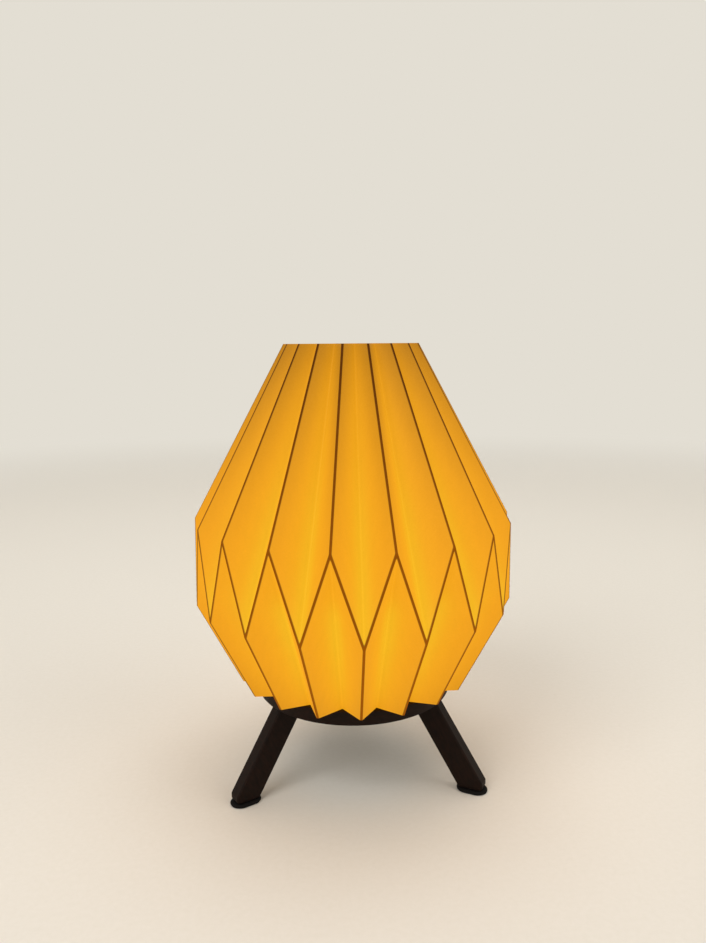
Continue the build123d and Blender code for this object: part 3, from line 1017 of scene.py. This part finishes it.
# ---------------------------------------------------------------- Dressing of the solids
@dataclass
class SolidsDressing:
    """The finish of every solid that shows as it was made.

    The wood's grain follows the splay of the legs, and has an angle about Z in the disc and in the
    ring, all in degrees. It is drawn out to grain_draw times its width.
    """

    leg_splay: float = 32.5
    disc_grain: float = 0.0
    ring_grain: float = 25.0
    grain_draw: float = 14.0

    def level_wood(self, name: str, turn: float) -> Finish:
        """Stained beech with its grain level, at an angle about Z in degrees."""
        return replace(STAINED_BEECH, name=name, stretch=(self.grain_draw, 1.0, 1.0), turn=turn)

    def leg_wood(self, leg: Leg) -> Finish:
        """Stained beech with its grain along one leg.

        Args:
            leg: the leg.

        Returns:
            The finish.
        """
        return replace(
            STAINED_BEECH,
            name=f"black_stained_beech_leg_{leg.name.lower()}",
            stretch=(1.0, 1.0, self.grain_draw),
            turn=leg.value,
            tilt=self.leg_splay,
        )

    def finishes(self) -> dict[str, Finish | LitOpalGlobe]:
        """Pairs each solid with its finish.

        Returns:
            The finish of each node, by the node's name.
        """
        pairs: dict[str, Finish | LitOpalGlobe] = {
            "base_disc": self.level_wood("black_stained_beech_disc", self.disc_grain),
            "seat_ring": self.level_wood("black_stained_beech_ring", self.ring_grain),
        }
        for leg in Leg:
            pairs[f"leg_{leg.name.lower()}"] = self.leg_wood(leg)
        groups = {
            ZINC: ("leg_screws", "threaded_nipple", "nipple_washer", "nipple_nut"),
            NYLON: ("cord_gland", "gland_screw"),
            PHENOLIC: ("holder_base", "holder_sleeve"),
            STEATITE: ("contact_block",),
            BRASS: ("terminal_screws", "centre_contact", "screw_shell"),
            CAP_METAL: ("bulb_contact", "bulb_cap"),
            VITRITE: ("bulb_insulator",),
            COLLAR: ("bulb_collar",),
            BOARD: ("led_board",),
            OPAL: ("bulb_globe",),
        }
        pairs.update({node: finish for finish, nodes in groups.items() for node in nodes})
        return pairs

    def dress(self) -> None:
        """Gives each solid its material, made once for each finish."""
        made: dict[Finish | LitOpalGlobe, bpy.types.Material] = {}
        for node, finish in self.finishes().items():
            if finish not in made:
                made[finish] = finish.material()
            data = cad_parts[node].data
            data.materials.clear()
            data.materials.append(made[finish])
            log.info("%s: %s", node, finish.name)


# ---------------------------------------------------------------- Stage, light and camera
@dataclass(frozen=True)
class Softbox:
    """A square lamp that points at the object.

    Args:
        name: what the lamp is.
        place: where it hangs, in metres.
        side: the length of its sides, in metres.
        power: its power, in watts.
    """

    name: str
    place: tuple[float, float, float]
    side: float
    power: float

    def hang(self, aim: Vector) -> None:
        """Adds the lamp to the scene.

        Args:
            aim: the point that it is turned to.
        """
        data = bpy.data.lights.new(self.name, "AREA")
        data.shape, data.size, data.energy = "SQUARE", self.side, self.power
        lamp = bpy.data.objects.new(self.name, data)
        lamp.location = self.place
        lamp.rotation_euler = (aim - lamp.location).to_track_quat("-Z", "Y").to_euler()
        bpy.context.collection.objects.link(lamp)


@dataclass
class Studio:
    """A pale sweep under soft, even light, with all its lengths in metres.

    From pale_from to pale_full from the middle, the paper turns to the wall's even pale colour.
    The softboxes are a broad key from the upper left, a weaker fill and one overhead.
    """

    floor_radius: float = 2.5
    wall_height: float = 1.8
    sweep_round: float = 0.9
    sweep_segments: int = 24
    rim_points: int = 96
    wall: str = "#e3ded3"
    pale_from: float = 0.8
    pale_full: float = 1.8
    sky: str = "#f2efe9"
    sky_strength: float = 0.62
    aim_height: float = 0.13
    softboxes: tuple[Softbox, ...] = (
        Softbox("key_softbox", (-1.0, -1.1, 1.5), 1.1, 15.0),
        Softbox("fill_softbox", (1.4, -0.8, 1.0), 1.4, 7.0),
        Softbox("top_softbox", (0.1, 0.3, 1.8), 1.3, 9.0),
    )

    def sweep(self) -> None:
        """Makes a round floor that curves up into a wall, so that every side has one ground."""
        bpy.ops.object.select_all(action="DESELECT")
        bpy.ops.mesh.primitive_circle_add(
            vertices=self.rim_points,
            radius=self.floor_radius,
            fill_type="NGON",
            location=(0.0, 0.0, 0.0),
        )
        floor = bpy.context.active_object
        floor.name = "studio_sweep"
        bpy.ops.object.mode_set(mode="EDIT")
        pick(floor, Pick.EDGES, lambda edge: edge.is_boundary)
        bpy.ops.mesh.extrude_edges_move(TRANSFORM_OT_translate={"value": (0.0, 0.0, self.wall_height)})
        pick(floor, Pick.EDGES, lambda edge: all(abs(end.co.z) < MM for end in edge.verts))
        bpy.ops.mesh.bevel(offset=self.sweep_round, segments=self.sweep_segments, affect="EDGES")
        bpy.ops.object.mode_set(mode="OBJECT")
        bpy.ops.object.shade_smooth()
        floor.data.materials.append(self.backdrop_paper())

    def backdrop_paper(self) -> bpy.types.Material:
        """Builds the sweep's paper.

        It takes the lamp's shadow and glow on the floor near the object. Further out, and up
        the wall, it is evenly pale to the eye and in gloss.

        Returns:
            The backdrop's material.
        """
        made = BACKDROP.material()
        tree = made.node_tree
        place = add_node(tree, "TexCoord")
        far = add_node(tree, "VectorMath", {0: place.outputs["Object"]}, operation="LENGTH")
        rise = add_node(tree, "MapRange", {
            "Value": far.outputs["Value"], "From Min": self.pale_from, "From Max": self.pale_full,
        }, interpolation_type="SMOOTHSTEP")
        path = add_node(tree, "LightPath")
        seen = add_node(tree, "Math", {
            0: path.outputs["Is Camera Ray"], 1: path.outputs["Is Glossy Ray"],
        }, operation="MAXIMUM")
        share = product(tree, (rise.outputs["Result"], seen.outputs["Value"]))
        pale = add_node(tree, "Emission", {"Color": linear(self.wall), "Strength": 1.0})
        mixed = add_node(tree, "MixShader", {
            0: share, 1: tree.nodes["Principled BSDF"].outputs["BSDF"], 2: pale.outputs["Emission"],
        })
        feed(tree, tree.nodes["Material Output"], {"Surface": mixed.outputs["Shader"]})
        return made

    def light(self) -> None:
        """Hangs the lamps and fills the air with an even light."""
        for softbox in self.softboxes:
            softbox.hang(Vector((0.0, 0.0, self.aim_height)))
        world = bpy.data.worlds.new("studio_air")
        world.use_nodes = True
        feed(world.node_tree, world.node_tree.nodes["Background"], {
            "Color": linear(self.sky), "Strength": self.sky_strength,
        })
        bpy.context.scene.world = world


@dataclass
class Viewpoint:
    """The eye that the picture was taken from, found from the shade's folds and both feet.

    Its place, lens and sensor are in millimetres, and the nearest thing that it sees in metres.
    It is turned from +Y towards +X, looks down by its pitch and leans by its roll, in degrees.
    """

    place: tuple[float, float, float] = (-37.2, -451.9, 250.9)
    heading: float = 4.76
    pitch: float = 9.11
    roll: float = -0.447
    lens: float = 30.71
    sensor: float = 36.0
    nearest: float = 0.01

    def build(self) -> None:
        """Sets the camera."""
        head, down, lean = radians(self.heading), radians(self.pitch), radians(self.roll)
        ahead = Vector((sin(head) * cos(down), cos(head) * cos(down), -sin(down)))
        right = Vector((cos(head), -sin(head), 0.0))
        up = right.cross(ahead)
        across = cos(lean) * right + sin(lean) * up
        upward = -sin(lean) * right + cos(lean) * up
        data = bpy.data.cameras.new("eye")
        data.lens, data.sensor_width, data.sensor_fit = self.lens, self.sensor, "AUTO"
        data.clip_start = self.nearest
        eye = bpy.data.objects.new("eye", data)
        turned = Matrix((across, upward, -ahead)).transposed().to_4x4()
        turned.translation = Vector(self.place) * MM
        eye.matrix_world = turned
        bpy.context.collection.objects.link(eye)
        bpy.context.scene.camera = eye


def main() -> None:
    """Builds the lamp's looks, its stage and its view."""
    logging.basicConfig(level=logging.INFO)
    bpy.context.scene.view_settings.view_transform = "Standard"
    Viewpoint().build()
    studio = Studio()
    studio.sweep()
    studio.light()
    PleatedShade().dress()
    MouldedPads().dress()
    SolidsDressing().dress()


if __name__ == "__main__":
    main()
